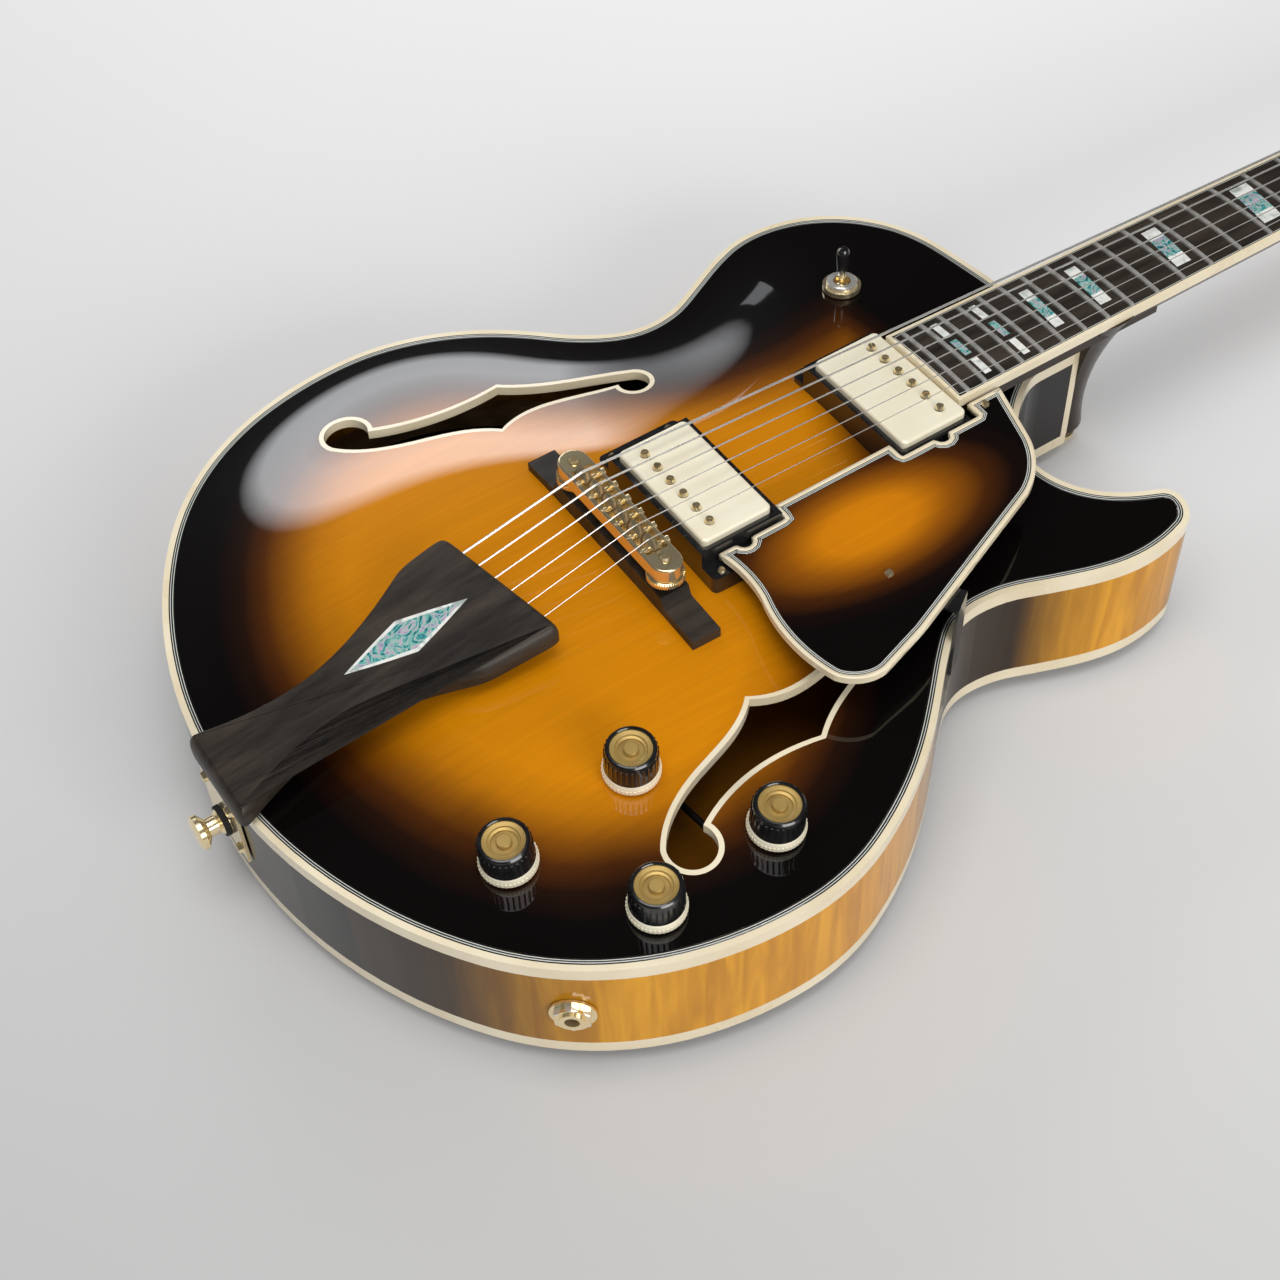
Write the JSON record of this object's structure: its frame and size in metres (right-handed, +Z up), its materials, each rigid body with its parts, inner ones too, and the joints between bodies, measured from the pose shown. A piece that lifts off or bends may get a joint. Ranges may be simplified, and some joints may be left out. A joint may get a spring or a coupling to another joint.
{
  "type": "archtop electric guitar",
  "caption": "Hollow arched-top electric guitar with rounded cutaway, bound sound holes, covered pickups, floating bridge, wooden tailpiece and a tilted headstock with geared tuners.",
  "frame": {"origin": "on the floor under the middle of the guitar's bounding box, the guitar lying on its back", "axes": "+X along the neck towards the headstock, +Y towards the bass side, +Z up out of the arched top"},
  "size_m": [1.062, 0.4, 0.1164],
  "materials": {
    "burst_top": "gloss lacquer",
    "maple": "gloss lacquer",
    "inner_wood": "bare",
    "binding": "gloss",
    "ebony": "satin",
    "pearl": "gloss",
    "bone": "satin",
    "steel": "polished",
    "gold": "polished",
    "black_plastic": "gloss",
    "pot_metal": "satin",
    "cable": "matte"
  },
  "bodies": {
    "guitar": {"top_plate": "burst_top", "pickguard": "burst_top", "back_plate": "maple", "side_ribs": "maple", "neck": "maple", "linings": "inner_wood", "end_blocks": "inner_wood", "tone_bars": "inner_wood", "body_binding": "binding", "soundhole_binding": "binding", "fretboard_binding": "binding", "fretboard": "ebony", "bridge_base": "ebony", "tailpiece": "ebony", "headstock_veneer": "ebony", "fret_inlays": "pearl", "nut": "bone", "frets": "steel", "truss_rod": "steel", "strings": "steel", "tuner_housings": "gold", "tailpiece_bracket": "gold", "strap_buttons": "gold", "bridge_studs": "gold", "pickup_covers": "gold", "output_jack": "gold", "truss_rod_cover": "black_plastic", "pickup_rings": "black_plastic", "pickup_coils": "black_plastic", "pickguard_bracket": "black_plastic", "pots": "pot_metal", "switch_body": "pot_metal", "wiring": "cable"},
    "bridge": {"bridge_frame": "gold", "saddle_screws": "gold"},
    "thumbwheel_bass": {"thumbwheel_bass": "gold"},
    "thumbwheel_treble": {"thumbwheel_treble": "gold"},
    "saddle_1": {"saddle_1": "gold"},
    "saddle_2": {"saddle_2": "gold"},
    "saddle_3": {"saddle_3": "gold"},
    "saddle_4": {"saddle_4": "gold"},
    "saddle_5": {"saddle_5": "gold"},
    "saddle_6": {"saddle_6": "gold"},
    "neck_volume_knob": {"neck_volume_knob": "black_plastic"},
    "neck_tone_knob": {"neck_tone_knob": "black_plastic"},
    "bridge_tone_knob": {"bridge_tone_knob": "black_plastic"},
    "bridge_volume_knob": {"bridge_volume_knob": "black_plastic"},
    "switch_lever": {"switch_lever": "black_plastic"},
    "tuner_button_1": {"tuner_button_1": "gold"},
    "tuner_post_1": {"tuner_post_1": "gold"},
    "tuner_button_2": {"tuner_button_2": "gold"},
    "tuner_post_2": {"tuner_post_2": "gold"},
    "tuner_button_3": {"tuner_button_3": "gold"},
    "tuner_post_3": {"tuner_post_3": "gold"},
    "tuner_button_4": {"tuner_button_4": "gold"},
    "tuner_post_4": {"tuner_post_4": "gold"},
    "tuner_button_5": {"tuner_button_5": "gold"},
    "tuner_post_5": {"tuner_post_5": "gold"},
    "tuner_button_6": {"tuner_button_6": "gold"},
    "tuner_post_6": {"tuner_post_6": "gold"}
  },
  "joints": [
    {"name": "bridge_height", "type": "slide", "parent": "guitar", "child": "bridge", "axis": [0, 0, 1], "range_m": [-0.002, 0.003], "deforming": ["strings"]},
    {"name": "thumbwheel_bass_turn", "type": "hinge", "parent": "bridge", "child": "thumbwheel_bass", "pos_m": [-0.30472, 0.037, 0.10092], "axis": [0, 0, 1], "range_deg": [-900, 1350]},
    {"name": "thumbwheel_treble_turn", "type": "hinge", "parent": "bridge", "child": "thumbwheel_treble", "pos_m": [-0.30472, -0.037, 0.10092], "axis": [0, 0, 1], "range_deg": [-900, 1350]},
    {"name": "saddle_1_slide", "type": "slide", "parent": "bridge", "child": "saddle_1", "axis": [1, 0, 0], "range_m": [-0.002, 0.002]},
    {"name": "saddle_2_slide", "type": "slide", "parent": "bridge", "child": "saddle_2", "axis": [1, 0, 0], "range_m": [-0.002, 0.002]},
    {"name": "saddle_3_slide", "type": "slide", "parent": "bridge", "child": "saddle_3", "axis": [1, 0, 0], "range_m": [-0.002, 0.002]},
    {"name": "saddle_4_slide", "type": "slide", "parent": "bridge", "child": "saddle_4", "axis": [1, 0, 0], "range_m": [-0.002, 0.002]},
    {"name": "saddle_5_slide", "type": "slide", "parent": "bridge", "child": "saddle_5", "axis": [1, 0, 0], "range_m": [-0.002, 0.002]},
    {"name": "saddle_6_slide", "type": "slide", "parent": "bridge", "child": "saddle_6", "axis": [1, 0, 0], "range_m": [-0.002, 0.002]},
    {"name": "neck_volume_knob_turn", "type": "hinge", "parent": "guitar", "child": "neck_volume_knob", "pos_m": [-0.37002, -0.106, 0.08245], "axis": [-0.0329, -0.095, 0.9949], "range_deg": [-150, 150]},
    {"name": "neck_tone_knob_turn", "type": "hinge", "parent": "guitar", "child": "neck_tone_knob", "pos_m": [-0.33487, -0.161, 0.07663], "axis": [0.0131, -0.0946, 0.9954], "range_deg": [-150, 150]},
    {"name": "bridge_tone_knob_turn", "type": "hinge", "parent": "guitar", "child": "bridge_tone_knob", "pos_m": [-0.39696, -0.1644, 0.0756], "axis": [-0.0255, -0.0626, 0.9977], "range_deg": [-150, 150]},
    {"name": "bridge_volume_knob_turn", "type": "hinge", "parent": "guitar", "child": "bridge_volume_knob", "pos_m": [-0.43485, -0.112, 0.07731], "axis": [-0.0874, -0.0671, 0.9939], "range_deg": [-150, 150]},
    {"name": "switch_tip", "type": "hinge", "parent": "guitar", "child": "switch_lever", "pos_m": [-0.10692, 0.091, 0.07848], "axis": [-0.0016, 0.9981, -0.062], "range_deg": [-12, 12]},
    {"name": "tuner_1_turn", "type": "hinge", "parent": "guitar", "child": "tuner_button_1", "pos_m": [0.38982, 0.024, 0.05626], "axis": [0, 1, 0], "continuous": true},
    {"name": "post_1_turn", "type": "hinge", "parent": "guitar", "child": "tuner_post_1", "pos_m": [0.38767, 0.024, 0.07643], "axis": [0.2487, 0, 0.9686], "continuous": true},
    {"name": "tuner_2_turn", "type": "hinge", "parent": "guitar", "child": "tuner_button_2", "pos_m": [0.42954, 0.024, 0.04607], "axis": [0, 1, 0], "continuous": true},
    {"name": "post_2_turn", "type": "hinge", "parent": "guitar", "child": "tuner_post_2", "pos_m": [0.42738, 0.024, 0.06624], "axis": [0.2487, 0, 0.9686], "continuous": true},
    {"name": "tuner_3_turn", "type": "hinge", "parent": "guitar", "child": "tuner_button_3", "pos_m": [0.46925, 0.024, 0.03587], "axis": [0, 1, 0], "continuous": true},
    {"name": "post_3_turn", "type": "hinge", "parent": "guitar", "child": "tuner_post_3", "pos_m": [0.4671, 0.024, 0.05604], "axis": [0.2487, 0, 0.9686], "continuous": true},
    {"name": "tuner_4_turn", "type": "hinge", "parent": "guitar", "child": "tuner_button_4", "pos_m": [0.45549, -0.024, 0.0394], "axis": [0, -1, 0], "continuous": true},
    {"name": "post_4_turn", "type": "hinge", "parent": "guitar", "child": "tuner_post_4", "pos_m": [0.4671, -0.024, 0.05604], "axis": [0.2487, 0, 0.9686], "continuous": true},
    {"name": "tuner_5_turn", "type": "hinge", "parent": "guitar", "child": "tuner_button_5", "pos_m": [0.41578, -0.024, 0.0496], "axis": [0, -1, 0], "continuous": true},
    {"name": "post_5_turn", "type": "hinge", "parent": "guitar", "child": "tuner_post_5", "pos_m": [0.42738, -0.024, 0.06624], "axis": [0.2487, 0, 0.9686], "continuous": true},
    {"name": "tuner_6_turn", "type": "hinge", "parent": "guitar", "child": "tuner_button_6", "pos_m": [0.37607, -0.024, 0.0598], "axis": [0, -1, 0], "continuous": true},
    {"name": "post_6_turn", "type": "hinge", "parent": "guitar", "child": "tuner_post_6", "pos_m": [0.38767, -0.024, 0.07643], "axis": [0.2487, 0, 0.9686], "continuous": true}
  ],
  "couplings": [
    {"joint": "thumbwheel_bass_turn", "follows": "bridge_height", "rad_per_m": 7854},
    {"joint": "thumbwheel_treble_turn", "follows": "bridge_height", "rad_per_m": 7854},
    {"joint": "post_1_turn", "follows": "tuner_1_turn", "ratio": 0.0625},
    {"joint": "post_2_turn", "follows": "tuner_2_turn", "ratio": 0.0625},
    {"joint": "post_3_turn", "follows": "tuner_3_turn", "ratio": 0.0625},
    {"joint": "post_4_turn", "follows": "tuner_4_turn", "ratio": 0.0625},
    {"joint": "post_5_turn", "follows": "tuner_5_turn", "ratio": 0.0625},
    {"joint": "post_6_turn", "follows": "tuner_6_turn", "ratio": 0.0625}
  ]
}
